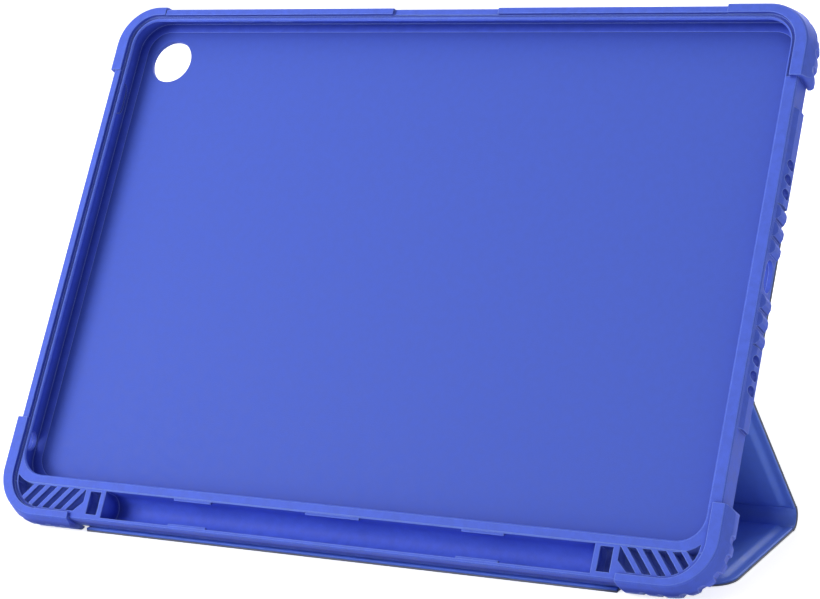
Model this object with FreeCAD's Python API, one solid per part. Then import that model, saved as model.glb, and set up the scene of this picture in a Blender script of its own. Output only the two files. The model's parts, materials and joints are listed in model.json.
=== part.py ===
"""Rugged folio case for a 10.2-inch tablet, standing on its folded cover.

Millimetres. X runs along the case's long side, Z is up and the table is Z = 0.

Two frames are used. The moulded tray is drawn flat in the CASE frame: x along the long side,
u up the screen and n out of the glass, with the glass at n = 0 and its centre at the origin.
place_on_case() then leans it back. Each cover panel is drawn flat in a PANEL frame: x along the
fold, y away from the panel's own fold axis, z towards the outer skin. place_panel() folds it.
"""
import FreeCAD, Part
import math
import os

# ---------------------------------------------------------------- driving dimensions
TABLET_LENGTH = 250.6
TABLET_WIDTH = 174.1
TABLET_THICKNESS = 7.5
STYLUS_LENGTH = 175.7
STYLUS_DIAMETER = 8.9

LEAN_ANGLE = 57.0            # screen to table
TABLET_CLEARANCE = 0.3
WALL = 1.6                   # side wall beside the tablet
PANEL_THICKNESS = 2.5        # skin, board and lining together

# moulded tray, CASE frame
POCKET_X = TABLET_LENGTH / 2 + TABLET_CLEARANCE
POCKET_U = TABLET_WIDTH / 2 + TABLET_CLEARANCE
POCKET_RADIUS = 10.6
FLOOR_N = -TABLET_THICKNESS - 0.4        # inside face of the back panel
BACK_PANEL_THICKNESS = 1.6
BACK_N = FLOOR_N - BACK_PANEL_THICKNESS
GLASS_GAP = 0.1
DECK_N = 1.0                 # level of the lip and of the tray's top
RIM_N = 2.0                  # raised rim on the left and top sides
PAD_N = 2.3                  # corner bumpers stand above the rim
FRAME_X = POCKET_X + WALL
FRAME_TOP = 88.4
TRAY_BOTTOM = -99.0          # outer face of the stylus tray between the bumpers
FRAME_RADIUS_TOP = 13.0
FRAME_RADIUS_BOTTOM = 15.0
TRAY_SPLIT = -88.2           # where the stylus tray starts
BACK_BEVEL = 1.6
TOP_BEVEL = 0.4
LIP_BEVEL = 0.5              # slope on the lip towards the glass

WINDOW_X = 122.8             # screen opening inside the lip
WINDOW_TOP = 84.3
WINDOW_BOTTOM = -85.2
WINDOW_RADIUS = 8.5
RIM_INNER_X = 124.6
RIM_INNER_TOP = 86.1
RIM_INNER_RADIUS = 10.5
GROOVE_X = 123.4
GROOVE_TOP = 85.3
GROOVE_RADIUS = 9.8
GROOVE_N = 0.5
RIM_GAP = (-19.5, 20.0)      # finger gap in the top rim

# corner bumpers
PAD_X = 128.9
PAD_TOP = 89.2
PAD_BOTTOM = -99.8
PAD_RADIUS_TOP = 14.5
PAD_RADIUS_BOTTOM = 16.0
PAD_PROFILE = [              # outward offset and height, front edge to back edge
    (-0.5, PAD_N), (0.0, PAD_N - 0.5), (1.5, -3.0), (1.5, -4.8), (0.6, -8.6), (-0.6, BACK_N),
]
PAD_BAND_BOTTOM = -97.2      # inner edge of the raised band below the hatched pockets
PAD_BAND_RADIUS = 12.4
PAD_END_RADIUS = 2.2
PAD_ENDS = {
    "top_left": {"x": (-140.0, -111.5), "u": (64.5, 100.0)},
    "top_right": {"x": (100.6, 140.0), "u": (64.5, 100.0)},
    "bottom_left": {"x": (-140.0, -98.5), "u": (-110.0, -66.0)},
    "bottom_right": {"x": (98.5, 140.0), "u": (-110.0, -73.0)},
}
TREAD_PITCH = 5.8
TREAD_RADIUS = 2.0
TREAD_TILT = 14.0            # notches run out towards the front
TREAD_START_N = -1.2
TREAD_SIDES = 8              # each notch is cut by an eight-sided rod
TREAD_REACH = 14.0
TREAD_END_MARGIN = 3.6       # plain stretch at a bumper's ends

# grips on the side walls: centre of the first tooth, number of teeth
GRIP_PITCH = 5.7
GRIP_TOOTH = 5.2
GRIP_HEIGHT = 1.9            # tooth crest above its root
BAND_U = (-49.0, 55.0)       # thicker band on the right wall
BAND_PROUD = 1.1
BAND_RECESS = 23.0           # half length of the band's toothed middle
RIGHT_GRIPS = [(-20.2, 3), (8.8, 3)]
LEFT_GRIPS = [(-39.0, 15)]
TOP_GRIPS = [(-49.0, 6), (23.0, 6)]

# stylus tray
TROUGH_LEFT = -86.2
TROUGH_RIGHT = TROUGH_LEFT + STYLUS_LENGTH + 0.5
TROUGH_RADIUS = STYLUS_DIAMETER / 2 + 0.15
TROUGH_U = -93.2
TROUGH_N = -4.2
DIVIDER = 1.8
END_POCKET = 4.2             # small rectangular pocket beyond each divider
HATCH_GAP = 2.0
HATCH_PITCH = 4.8
HATCH_RIB = 1.6
HATCH_SLANT = 39.0
HATCH_RIBS = 5
HATCH_FLOOR_N = -4.5
HATCH_X = 122.9
HATCH_BOTTOM = -96.4
HATCH_RADIUS = 11.1
HATCH_CORNER = 2.4           # bevelled corner of the first pocket
END_POCKET_U = (-97.0, -89.2)
GRIP_TABS = [                # start, end and side of the tabs over the trough
    (-59.5, -45.4, 1), (-10.0, 9.4, 1), (45.4, 59.7, 1), (-59.5, -45.2, -1), (45.3, 59.6, -1),
]

# openings in the walls
CUT_DEPTH = 12.0
CAMERA_X, CAMERA_U, CAMERA_RADIUS = -111.0, 72.5, 8.0
PORT_WIDTH = 10.4
WALL_SLOT_LOW_N, WALL_SLOT_HIGH_N = -7.3, -0.5
SPEAKER_SLOT, SPEAKER_HEIGHT = 3.0, 4.6
SPEAKER_PITCH = 4.8
SPEAKER_FIRST_U = 27.0
JACK_U, JACK_RADIUS = -72.5, 3.5
BUTTON_N = -3.75
BUTTON_LENGTH, BUTTON_HEIGHT = 11.0, 4.4
BUTTON_GAP = 0.35
BUTTON_PROUD = 0.8
BUTTON_BEVEL = 0.4
POWER_INSET, VOLUME_INSET = 0.3, 0.15    # pad's inner face outside the pocket wall
POWER_U = 56.0
VOLUME_UP_X, VOLUME_DOWN_X = -84.0, -68.0

# folding cover
COVER_X = 126.0              # half length of every panel
SPINE_X = 96.0               # the spine fits between the bottom bumpers
SPINE_GAP = 0.3              # spine to tray wall when the cover is shut
SPINE_START, SPINE_END = 1.15, 1.8       # where creases take over from the spine strip
STRIP_LOW_U, STRIP_HIGH_U = -97.3, -79.0
COVER_GAP = 0.4              # shut cover to the bumpers' front
FOLD_HEIGHT = PANEL_THICKNESS / 2
STRUT_ANGLE = 129.5          # strut panel to table, measured from +Y
BASE_START = 4.5             # base panel's edge, clear of the narrower spine
BASE_END_Y = 23.0            # where the base panel's straight part ends
REAR_BEND_RADIUS = 3.35      # mid-plane radius of the soft rear bend
FLAP_LENGTH = 63.5
FLAP_GAP = 0.4               # flap to case back in the standing pose
SKIN, LINING = 0.7, 0.6
MARGIN = 4.6                 # pressed band round each board
BEVEL = 1.3
FOLD_SETBACK = 2.2
LEATHER = SKIN + LINING      # the two sheets where no board lies between them
LEATHER_LOW = -PANEL_THICKNESS / 2
LEATHER_HIGH = LEATHER_LOW + LEATHER
STRIP_THICKNESS = 1.1        # leather strip glued to the case's back

# magnets
MAGNET_LENGTH, MAGNET_WIDTH, MAGNET_THICKNESS = 20.0, 6.0, 0.9
MAGNET_X = (-96.0, -34.0, 34.0, 96.0)
MAGNET_Y = FLAP_LENGTH - 9.0             # from the flap's fold axis
MAGNET_CLEARANCE = 0.15

ORIGIN = FreeCAD.Vector(0, 0, 0)
X_AXIS = FreeCAD.Vector(1, 0, 0)
Z_AXIS = FreeCAD.Vector(0, 0, 1)
FAR = 150.0                  # beyond the case on every side, for cutting boxes
NEAR = 0.05                  # gap left between pieces that lie on each other
TOLERANCE = 1e-6
LEAN = math.radians(LEAN_ANGLE)


# ---------------------------------------------------------------- small helpers
def vec(x, y, z):
    return FreeCAD.Vector(x, y, z)


def box(x0, x1, y0, y1, z0, z1):
    return Part.makeBox(x1 - x0, y1 - y0, z1 - z0, vec(x0, y0, z0))


def outline(x0, x1, u0, u1, r_low, r_high):
    """Rounded rectangle wire; r_low rounds the two lower corners, r_high the upper ones."""
    corners = [
        (x1 - r_low, u0 + r_low, r_low, -90),
        (x1 - r_high, u1 - r_high, r_high, 0),
        (x0 + r_high, u1 - r_high, r_high, 90),
        (x0 + r_low, u0 + r_low, r_low, 180),
    ]
    edges = []
    previous = None
    first = None
    for cx, cu, radius, start in corners:
        points = []
        for step in (0, 45, 90):
            angle = math.radians(start + step)
            points.append(vec(cx + radius * math.cos(angle), cu + radius * math.sin(angle), 0))
        if previous is not None:
            edges.append(Part.LineSegment(previous, points[0]).toShape())
        else:
            first = points[0]
        edges.append(Part.Arc(*points).toShape())
        previous = points[2]
    edges.append(Part.LineSegment(previous, first).toShape())
    return Part.Wire(edges)


def slab(wire, z0, z1):
    """Solid between two heights over a flat outline."""
    solid = Part.Face(wire).extrude(vec(0, 0, z1 - z0))
    solid.translate(vec(0, 0, z0))
    return solid


def level_edges(solid, height):
    """Edges that lie wholly at one height."""
    found = []
    for edge in solid.Edges:
        bounds = edge.BoundBox
        if abs(bounds.ZMin - height) < TOLERANCE and abs(bounds.ZMax - height) < TOLERANCE:
            found.append(edge)
    return found


def place_on_case(shape):
    """CASE frame to world: lean back about X and stand the bumpers on the table."""
    shape = shape.copy()
    shape.rotate(ORIGIN, X_AXIS, LEAN_ANGLE)
    shape.translate(vec(0, CASE_Y, CASE_Z))
    return shape


def case_point(u, n):
    """World (y, z) of a CASE frame point."""
    y = CASE_Y + u * math.cos(LEAN) - n * math.sin(LEAN)
    z = CASE_Z + u * math.sin(LEAN) + n * math.cos(LEAN)
    return y, z


def place_panel(shape, pivot, angle):
    """PANEL frame to world: turn about X by angle and move to the fold axis."""
    shape = shape.copy()
    shape.rotate(ORIGIN, X_AXIS, angle)
    shape.translate(vec(0, pivot[0], pivot[1]))
    return shape


# ---------------------------------------------------------------- where the case and folds are
# The bumpers' lowest profile point is what touches the table.
CASE_Z = -min(
    (PAD_BOTTOM - offset) * math.sin(LEAN) + n * math.cos(LEAN) for offset, n in PAD_PROFILE
)
# Centre the whole object on Y.
FRONT_REACH = min(
    (PAD_BOTTOM - offset) * math.cos(LEAN) - n * math.sin(LEAN) for offset, n in PAD_PROFILE
)
REAR_REACH = max(
    (PAD_TOP + offset) * math.cos(LEAN) - n * math.sin(LEAN) for offset, n in PAD_PROFILE
)
CASE_Y = -(FRONT_REACH + REAR_REACH) / 2

# Fold axes as world (y, z). The spine lies on the table, then the base panel, then the strut.
SPINE_U = TRAY_BOTTOM - SPINE_GAP - PANEL_THICKNESS / 2
SPINE_N = (FOLD_HEIGHT - CASE_Z - SPINE_U * math.sin(LEAN)) / math.cos(LEAN)
SPINE_FOLD = case_point(SPINE_U, SPINE_N)
SPINE_LENGTH = PAD_N + COVER_GAP + FOLD_HEIGHT - SPINE_N
BASE_FOLD = (SPINE_FOLD[0] + SPINE_LENGTH, FOLD_HEIGHT)

# The rear bend is an arc. Its axis is set so that the cover keeps its length when it opens flat.
HALF_BEND = math.radians(STRUT_ANGLE) / 2
BEND_TANGENT = REAR_BEND_RADIUS * math.tan(HALF_BEND)
BEND_ARC = REAR_BEND_RADIUS * math.radians(STRUT_ANGLE)
BEND_RISE = (BEND_TANGENT - BEND_ARC / 2) / math.tan(HALF_BEND)
BASE_STRAIGHT = BASE_END_Y - BASE_FOLD[0]
BEND_CENTRE = (BASE_END_Y, FOLD_HEIGHT + REAR_BEND_RADIUS)
STRUT_FOLD = (BEND_CENTRE[0] + BEND_ARC / 2, FOLD_HEIGHT + BEND_RISE)

# Strut direction and the fold where it meets the case's back.
STRUT_DIRECTION = (math.cos(math.radians(STRUT_ANGLE)), math.sin(math.radians(STRUT_ANGLE)))
STRUT_START = (
    BEND_CENTRE[0] + REAR_BEND_RADIUS * STRUT_DIRECTION[1],
    BEND_CENTRE[1] - REAR_BEND_RADIUS * STRUT_DIRECTION[0],
)
FLAP_N = BACK_N - FLAP_GAP - PANEL_THICKNESS / 2
FLAP_LINE = case_point(0.0, FLAP_N)
BACK_NORMAL = (-math.sin(LEAN), math.cos(LEAN))
STRUT_RUN = (
    (FLAP_LINE[0] - STRUT_START[0]) * BACK_NORMAL[0]
    + (FLAP_LINE[1] - STRUT_START[1]) * BACK_NORMAL[1]
) / (STRUT_DIRECTION[0] * BACK_NORMAL[0] + STRUT_DIRECTION[1] * BACK_NORMAL[1])
FLAP_FOLD = (
    STRUT_START[0] + STRUT_RUN * STRUT_DIRECTION[0],
    STRUT_START[1] + STRUT_RUN * STRUT_DIRECTION[1],
)

STAND_MAGNET_U = (
    (FLAP_FOLD[0] - CASE_Y) * math.cos(LEAN) + (FLAP_FOLD[1] - CASE_Z) * math.sin(LEAN) + MAGNET_Y
)


# ---------------------------------------------------------------- moulded tray
def tray_blank():
    """Outer block of frame and stylus tray together, edges bevelled."""
    blank = slab(frame_wire(), BACK_N, DECK_N)
    blank = blank.makeChamfer(BACK_BEVEL, level_edges(blank, BACK_N))
    return blank.makeChamfer(TOP_BEVEL, level_edges(blank, DECK_N))


def frame_wire():
    """Outer outline of frame and stylus tray."""
    return outline(
        -FRAME_X, FRAME_X, TRAY_BOTTOM, FRAME_TOP, FRAME_RADIUS_BOTTOM, FRAME_RADIUS_TOP
    )


def rim_inner_wire():
    """Inner outline of the raised rim and of the bumpers' top band."""
    return outline(
        -RIM_INNER_X, RIM_INNER_X, PAD_BAND_BOTTOM, RIM_INNER_TOP,
        PAD_BAND_RADIUS, RIM_INNER_RADIUS,
    )


def pocket_wire(grow):
    """Outline of the tablet pocket, grown outwards."""
    radius = POCKET_RADIUS + grow
    return outline(
        -POCKET_X - grow, POCKET_X + grow, -POCKET_U - grow, POCKET_U + grow, radius, radius
    )


def window_wire(grow):
    """Outline of the screen opening, grown outwards."""
    radius = WINDOW_RADIUS + grow
    return outline(
        -WINDOW_X - grow, WINDOW_X + grow, WINDOW_BOTTOM - grow, WINDOW_TOP + grow, radius, radius
    )


def rim_sections():
    """The rim stands on the left side and on the top side, with a finger gap in the middle."""
    ring = slab(frame_wire(), DECK_N - 0.5, RIM_N)
    ring = ring.makeChamfer(TOP_BEVEL, level_edges(ring, RIM_N))
    ring = ring.cut(slab(rim_inner_wire(), DECK_N - 1.0, RIM_N + 1.0))
    low, high = PAD_ENDS["bottom_left"]["u"][1], PAD_ENDS["top_left"]["u"][0]
    sections = ring.common(box(-FAR, -RIM_INNER_X, low, high, 0, 5))
    spans = [
        (PAD_ENDS["top_left"]["x"][1], RIM_GAP[0]),
        (RIM_GAP[1], PAD_ENDS["top_right"]["x"][0]),
    ]
    for start, end in spans:
        sections = sections.fuse(ring.common(box(start, end, 0, FAR, 0, 5)))
    return sections


def lip_groove():
    """Fine groove between the lip and the rim, on the left side, the top side and the corners."""
    inner = outline(
        -GROOVE_X, GROOVE_X, -96.0, GROOVE_TOP, PAD_BAND_RADIUS - 1.2, GROOVE_RADIUS
    )
    ring = slab(rim_inner_wire(), GROOVE_N, 3.0).cut(slab(inner, GROOVE_N - 1, 4.0))
    ring = ring.cut(box(0, FAR, -FAR, PAD_ENDS["top_right"]["u"][0], -1, 5))
    return ring.cut(box(-113, FAR, -FAR, TRAY_SPLIT, -1, 5))


def slot_solid(length, height, depth):
    """Round-ended slot along y, height along z, cut through along x from x = 0."""
    radius = min(length, height) / 2 - 0.01
    wire = outline(-length / 2, length / 2, -height / 2, height / 2, radius, radius)
    solid = slab(wire, 0, depth)
    solid.rotate(ORIGIN, X_AXIS, 90)
    solid.rotate(ORIGIN, Z_AXIS, 90)
    return solid


def wall_cutters():
    """Everything cut through the side walls: port, speakers, jack and button windows."""
    middle = (WALL_SLOT_LOW_N + WALL_SLOT_HIGH_N) / 2
    port = slot_solid(PORT_WIDTH, WALL_SLOT_HIGH_N - WALL_SLOT_LOW_N, CUT_DEPTH)
    port.translate(vec(POCKET_X - 1, 0, middle))
    cutters = [port, jack_hole()]
    for side in (-1, 1):
        for index in range(3):
            slot = slot_solid(SPEAKER_SLOT, SPEAKER_HEIGHT, CUT_DEPTH)
            place = side * (SPEAKER_FIRST_U + index * SPEAKER_PITCH)
            slot.translate(vec(POCKET_X - 1, place, middle))
            cutters.append(slot)
    window_length = BUTTON_LENGTH + 2 * BUTTON_GAP
    window_height = BUTTON_HEIGHT + 2 * BUTTON_GAP
    power = slot_solid(window_length, window_height, CUT_DEPTH)
    power.rotate(ORIGIN, Z_AXIS, 180)
    power.translate(vec(-POCKET_X + 1, POWER_U, BUTTON_N))
    cutters.append(power)
    for place in (VOLUME_UP_X, VOLUME_DOWN_X):
        window = slot_solid(window_length, window_height, CUT_DEPTH)
        window.rotate(ORIGIN, Z_AXIS, 90)
        window.translate(vec(place, POCKET_U - 1, BUTTON_N))
        cutters.append(window)
    return cutters


def jack_hole():
    """Round hole through the left wall for an audio plug."""
    middle = (WALL_SLOT_LOW_N + WALL_SLOT_HIGH_N) / 2
    start = vec(-POCKET_X + 1, JACK_U, middle)
    return Part.makeCylinder(JACK_RADIUS, CUT_DEPTH, start, vec(-1, 0, 0))


def wall_profile(proud):
    """Section of what stands on a wall: x outwards from the wall, height up, sloped both ways."""
    return [
        (-0.4, DECK_N - 1.2), (0.0, DECK_N - 1.6), (proud, DECK_N - 3.6), (proud, -7.0),
        (-0.6, BACK_N + BACK_BEVEL - 0.4), (-1.0, -7.0), (-1.0, DECK_N - 1.2),
    ]


def wall_sweep(proud, start, end):
    """The wall section swept along +u from start to end, its wall at x = 0."""
    corners = [vec(x, start, n) for x, n in wall_profile(proud)]
    return Part.Face(Part.makePolygon(corners + corners[:1])).extrude(vec(0, end - start, 0))


def grip_teeth(first, count):
    """Row of rounded teeth along +u on a wall at x = 0."""
    teeth = None
    for index in range(count):
        place = first + index * GRIP_PITCH
        corners = []
        for step in range(6):
            angle = math.pi * step / 5
            x = GRIP_HEIGHT * math.sin(angle) - 0.5
            corners.append(vec(x, place - GRIP_TOOTH / 2 * math.cos(angle), 0))
        tooth = slab(Part.makePolygon(corners + corners[:1]), BACK_N, DECK_N)
        teeth = tooth if teeth is None else teeth.fuse(tooth)
    last = first + (count - 1) * GRIP_PITCH
    return teeth.common(wall_sweep(GRIP_HEIGHT, first - GRIP_PITCH, last + GRIP_PITCH))


def wall_grips():
    """Thicker band on the right wall, and the toothed grips on three walls."""
    parts = []
    for start, end in ((BAND_U[0], -BAND_RECESS), (BAND_RECESS, BAND_U[1])):
        band = wall_sweep(BAND_PROUD, start, end)
        band.translate(vec(FRAME_X, 0, 0))
        parts.append(band)
    for rows, x, u, turn in (
        (RIGHT_GRIPS, FRAME_X, 0, 0), (LEFT_GRIPS, -FRAME_X, 0, 180), (TOP_GRIPS, 0, FRAME_TOP, 90),
    ):
        for first, count in rows:
            # turned rows run the other way, so they start from their last tooth
            start = first if turn == 0 else -(first + (count - 1) * GRIP_PITCH)
            row = grip_teeth(start, count)
            row.rotate(ORIGIN, Z_AXIS, turn)
            row.translate(vec(x, u, 0))
            parts.append(row)
    return parts


def hatch_cutter(side):
    """Slanted pockets in one lower corner. side is -1 for the left corner, 1 for the right."""
    zone_wire = outline(-HATCH_X, HATCH_X, HATCH_BOTTOM, 0, HATCH_RADIUS, 5)
    zone = slab(zone_wire, HATCH_FLOOR_N, 5)
    zone = zone.cut(slab(pocket_wire(1.4), HATCH_FLOOR_N - 1, 6))
    end = abs(TROUGH_LEFT) if side < 0 else TROUGH_RIGHT
    start = end + DIVIDER + END_POCKET + HATCH_GAP
    keep = box(start, FAR, -FAR, -78, -10, 10)
    if side < 0:
        keep = box(-FAR, -start, -FAR, -78, -10, 10)
    zone = zone.common(keep)
    corner = box(-HATCH_CORNER, HATCH_CORNER, -HATCH_CORNER, HATCH_CORNER, -10, 10)
    corner.rotate(ORIGIN, Z_AXIS, 45)
    corner.translate(vec(side * start, HATCH_BOTTOM, 0))
    zone = zone.cut(corner)
    for index in range(1, HATCH_RIBS + 1):
        rib = box(-HATCH_RIB / 2, HATCH_RIB / 2, -20, 20, -10, 10)
        rib.rotate(ORIGIN, Z_AXIS, side * HATCH_SLANT)
        rib.translate(vec(side * (start + index * HATCH_PITCH), TROUGH_U, 0))
        zone = zone.cut(rib)
    return zone


def bumper_frame():
    """One-piece soft frame: side walls, screen lip, raised rim, grips and floor ledge."""
    frame = tray_blank().common(box(-FAR, FAR, TRAY_SPLIT, FAR, -20, 20))
    for grip in wall_grips():
        frame = frame.fuse(grip)
    frame = frame.cut(slab(pocket_wire(0), FLOOR_N, GLASS_GAP))
    frame = frame.cut(slab(window_wire(0), GLASS_GAP - 1, 5))
    foot, crown = window_wire(0), window_wire(2 * LIP_BEVEL)
    foot.translate(vec(0, 0, DECK_N - LIP_BEVEL))
    crown.translate(vec(0, 0, DECK_N + LIP_BEVEL))
    frame = frame.cut(Part.makeLoft([foot, crown], True, True))
    frame = frame.cut(slab(back_panel_wire(), BACK_N - 1, FLOOR_N + 1))
    frame = frame.cut(lip_groove())
    frame = frame.fuse(rim_sections())
    for cutter in wall_cutters():
        frame = frame.cut(cutter)
    frame = frame.cut(hatch_cutter(-1))
    frame = frame.cut(hatch_cutter(1))
    return frame.removeSplitter()


def stylus_tray():
    """Bottom band of the moulding: stylus trough, end pockets and hatched corners."""
    tray = tray_blank().common(box(-FAR, FAR, -FAR, TRAY_SPLIT, -20, 20))
    length = TROUGH_RIGHT - TROUGH_LEFT
    trough = Part.makeCylinder(TROUGH_RADIUS, length, vec(TROUGH_LEFT, TROUGH_U, TROUGH_N), X_AXIS)
    mouth = box(
        TROUGH_LEFT, TROUGH_RIGHT, TROUGH_U - TROUGH_RADIUS, TROUGH_U + TROUGH_RADIUS, TROUGH_N, 5
    )
    tray = tray.cut(trough.fuse(mouth))
    for start in (TROUGH_LEFT - DIVIDER - END_POCKET, TROUGH_RIGHT + DIVIDER):
        tray = tray.cut(box(start, start + END_POCKET, *END_POCKET_U, HATCH_FLOOR_N, 5))
    tray = tray.cut(hatch_cutter(-1))
    tray = tray.cut(hatch_cutter(1))
    tray = tray.cut(lip_groove())
    return tray.fuse(stylus_grips()).removeSplitter()


def stylus_grips():
    """Small tabs on both trough walls that hold the stylus in."""
    grips = None
    for x0, x1, side in GRIP_TABS:
        wall = TROUGH_U + side * TROUGH_RADIUS
        base, tip = wall + side * 0.4, wall - side * 0.7
        profile = Part.makePolygon([
            vec(x0, base, DECK_N), vec(x0, tip, DECK_N - 0.3), vec(x0, tip, DECK_N - 1.0),
            vec(x0, base, DECK_N - 2.2), vec(x0, base, DECK_N),
        ])
        grip = Part.Face(profile).extrude(vec(x1 - x0, 0, 0))
        grips = grip if grips is None else grips.fuse(grip)
    return grips


def back_panel_wire():
    """Outline of the rigid back panel where it meets the frame's ledge."""
    return outline(-122.0, 122.0, -84.0, 84.0, 8.0, 8.0)


def back_panel():
    """Rigid back sheet with the camera hole and pockets for the stand magnets."""
    panel = slab(back_panel_wire(), BACK_N, FLOOR_N)
    hole = Part.makeCylinder(CAMERA_RADIUS, 10, vec(CAMERA_X, CAMERA_U, BACK_N - 5), Z_AXIS)
    panel = panel.cut(hole)
    for pocket in magnet_row(STAND_MAGNET_U, BACK_N - 0.1, 1.15, MAGNET_CLEARANCE):
        panel = panel.cut(pocket)
    return panel


# ---------------------------------------------------------------- magnets
def magnet_row(y, z, thickness, grow):
    """Four bar magnets along X, optionally grown to make their pockets."""
    bars = []
    for x in MAGNET_X:
        bars.append(box(
            x - MAGNET_LENGTH / 2 - grow, x + MAGNET_LENGTH / 2 + grow,
            y - MAGNET_WIDTH / 2 - grow, y + MAGNET_WIDTH / 2 + grow,
            z, z + thickness,
        ))
    return bars


# ---------------------------------------------------------------- corner bumpers
def pad_wire(offset):
    """Bumper outline, moved outwards."""
    return outline(
        -PAD_X - offset, PAD_X + offset, PAD_BOTTOM - offset, PAD_TOP + offset,
        PAD_RADIUS_BOTTOM + offset, PAD_RADIUS_TOP + offset,
    )


def tread_rod():
    """Many-sided rod from the origin towards the back, tilted by TREAD_TILT."""
    corners = []
    for step in range(TREAD_SIDES):
        angle = 2 * math.pi * (step + 0.5) / TREAD_SIDES
        corners.append(vec(TREAD_RADIUS * math.cos(angle), TREAD_RADIUS * math.sin(angle), 0))
    rod = slab(Part.makePolygon(corners + corners[:1]), -TREAD_REACH, 0)
    rod.rotate(ORIGIN, X_AXIS, -TREAD_TILT)
    return rod


def tread_notches():
    """Notches across the bumpers' outer faces, deeper towards the back."""
    widest = max(offset for offset, n in PAD_PROFILE)
    points = pad_wire(widest).discretize(Distance=TREAD_PITCH)
    cutters = []
    for before, here, after in zip(points, points[1:], points[2:]):
        along = math.degrees(math.atan2(after.y - before.y, after.x - before.x))
        notch = tread_rod()
        notch.translate(vec(0, TREAD_RADIUS, TREAD_START_N))
        notch.rotate(ORIGIN, Z_AXIS, along + 180)
        notch.translate(here)
        cutters.append((here, notch))
    return cutters


def inside(point, zone, margin):
    """True where a point lies in a bumper's zone, away from its ends."""
    clear_x = zone["x"][0] + margin < point.x < zone["x"][1] - margin
    clear_u = zone["u"][0] + margin < point.y < zone["u"][1] - margin
    return clear_x and clear_u


def end_trim(zone):
    """What is kept of the bumper block for one corner, with rounded ends."""
    reach = max(offset for offset, n in PAD_PROFILE) + NEAR
    x0, x1 = max(zone["x"][0], -PAD_X - reach), min(zone["x"][1], PAD_X + reach)
    u0, u1 = max(zone["u"][0], PAD_BOTTOM - reach), min(zone["u"][1], PAD_TOP + reach)
    return slab(outline(x0, x1, u0, u1, PAD_END_RADIUS, PAD_END_RADIUS), -20, 20)


def corner_bumpers():
    """Thicker corner pads that cap the frame's corners."""
    wires = []
    for offset, n in PAD_PROFILE:
        wire = pad_wire(offset)
        wire.translate(vec(0, 0, n))
        wires.append(wire)
    block = Part.makeLoft(wires, True, True)
    block = block.cut(slab(frame_wire(), BACK_N - 1, DECK_N))
    block = block.cut(slab(rim_inner_wire(), DECK_N - 1, PAD_N + 1))
    notches = tread_notches()
    pads = {}
    for name, zone in PAD_ENDS.items():
        pad = block.common(end_trim(zone))
        for place, notch in notches:
            if inside(place, zone, TREAD_END_MARGIN):
                pad = pad.cut(notch)
        pads[name] = pad
    pads["bottom_left"] = pads["bottom_left"].cut(jack_hole())
    return pads


# ---------------------------------------------------------------- button pads
def button_pad(thickness):
    """Pad with round ends, outward along +x, its inner face at x = 0."""
    pad = slot_solid(BUTTON_LENGTH, BUTTON_HEIGHT, thickness)
    outer = [edge for edge in pad.Edges if abs(edge.BoundBox.XMin - thickness) < TOLERANCE]
    return pad.makeChamfer(BUTTON_BEVEL, outer)


def buttons():
    """Power pad on the left wall and two volume pads on the top wall."""
    power = button_pad(WALL + BUTTON_PROUD - POWER_INSET)
    power.rotate(ORIGIN, Z_AXIS, 180)
    power.translate(vec(-POCKET_X - POWER_INSET, POWER_U, BUTTON_N))
    pads = {"power_button_pad": power}
    for name, place in (("volume_up_pad", VOLUME_UP_X), ("volume_down_pad", VOLUME_DOWN_X)):
        pad = button_pad(FRAME_TOP + BUTTON_PROUD - POCKET_U - VOLUME_INSET)
        pad.rotate(ORIGIN, Z_AXIS, 90)
        pad.translate(vec(place, POCKET_U + VOLUME_INSET, BUTTON_N))
        pads[name] = pad
    return pads


# ---------------------------------------------------------------- folding cover
def panel_wire(half_x, y0, y1, r_near, r_far):
    """Panel outline; near is the fold axis side."""
    return outline(-half_x, half_x, y0, y1, r_near, r_far)


def panel_layers(y0, y1, r_near, r_far, inset_near, inset_far):
    """Skin, board and lining of one panel. The insets are the margins along its two folds."""
    low = -PANEL_THICKNESS / 2
    board_low = low + LINING
    board_high = PANEL_THICKNESS / 2 - SKIN
    board_round = 3.0
    board = slab(
        panel_wire(COVER_X - MARGIN, y0 + inset_near, y1 - inset_far, board_round, board_round),
        board_low, board_high,
    )
    margin_top = board_low + SKIN
    skin = slab(panel_wire(COVER_X, y0, y1, r_near, r_far), board_low, margin_top)
    foot = panel_wire(
        COVER_X - MARGIN + BEVEL, y0 + inset_near - BEVEL, y1 - inset_far + BEVEL, 4.0, 4.0
    )
    crown = panel_wire(
        COVER_X - MARGIN - 0.2, y0 + inset_near + 0.2, y1 - inset_far - 0.2, 3.2, 3.2
    )
    foot.translate(vec(0, 0, margin_top - NEAR))
    crown.translate(vec(0, 0, PANEL_THICKNESS / 2))
    skin = skin.fuse(Part.makeLoft([foot, crown], True, True)).removeSplitter()
    skin = skin.cut(board)
    edge = 0.5
    lining = slab(
        panel_wire(COVER_X - edge, y0 + edge, y1 - edge, max(r_near - edge, 0.6),
                   max(r_far - edge, 0.6)),
        low, board_low,
    )
    return {"skin": skin, "board": board, "lining": lining}


def spine_layers():
    """Soft spine strip between the bottom bumpers: skin outside, lining inside, no board."""
    wire = outline(-SPINE_X, SPINE_X, SPINE_START + NEAR, SPINE_LENGTH - SPINE_END, 0.8, 0.8)
    middle = LEATHER_LOW + LINING
    return {
        "spine_skin": slab(wire, middle, LEATHER_HIGH),
        "spine_lining": slab(wire, LEATHER_LOW, middle),
    }


def prism(points, half_x):
    """Solid along X over a closed (y, z) outline."""
    corners = [vec(-half_x, y, z) for y, z in points]
    return Part.Face(Part.makePolygon(corners + corners[:1])).extrude(vec(2 * half_x, 0, 0))


def base_crease():
    """Leather between spine and base panel, flat on the table, PANEL frame of the base."""
    return box(-SPINE_X, SPINE_X, -SPINE_END, BASE_START - 0.1, LEATHER_LOW, LEATHER_HIGH)


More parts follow.
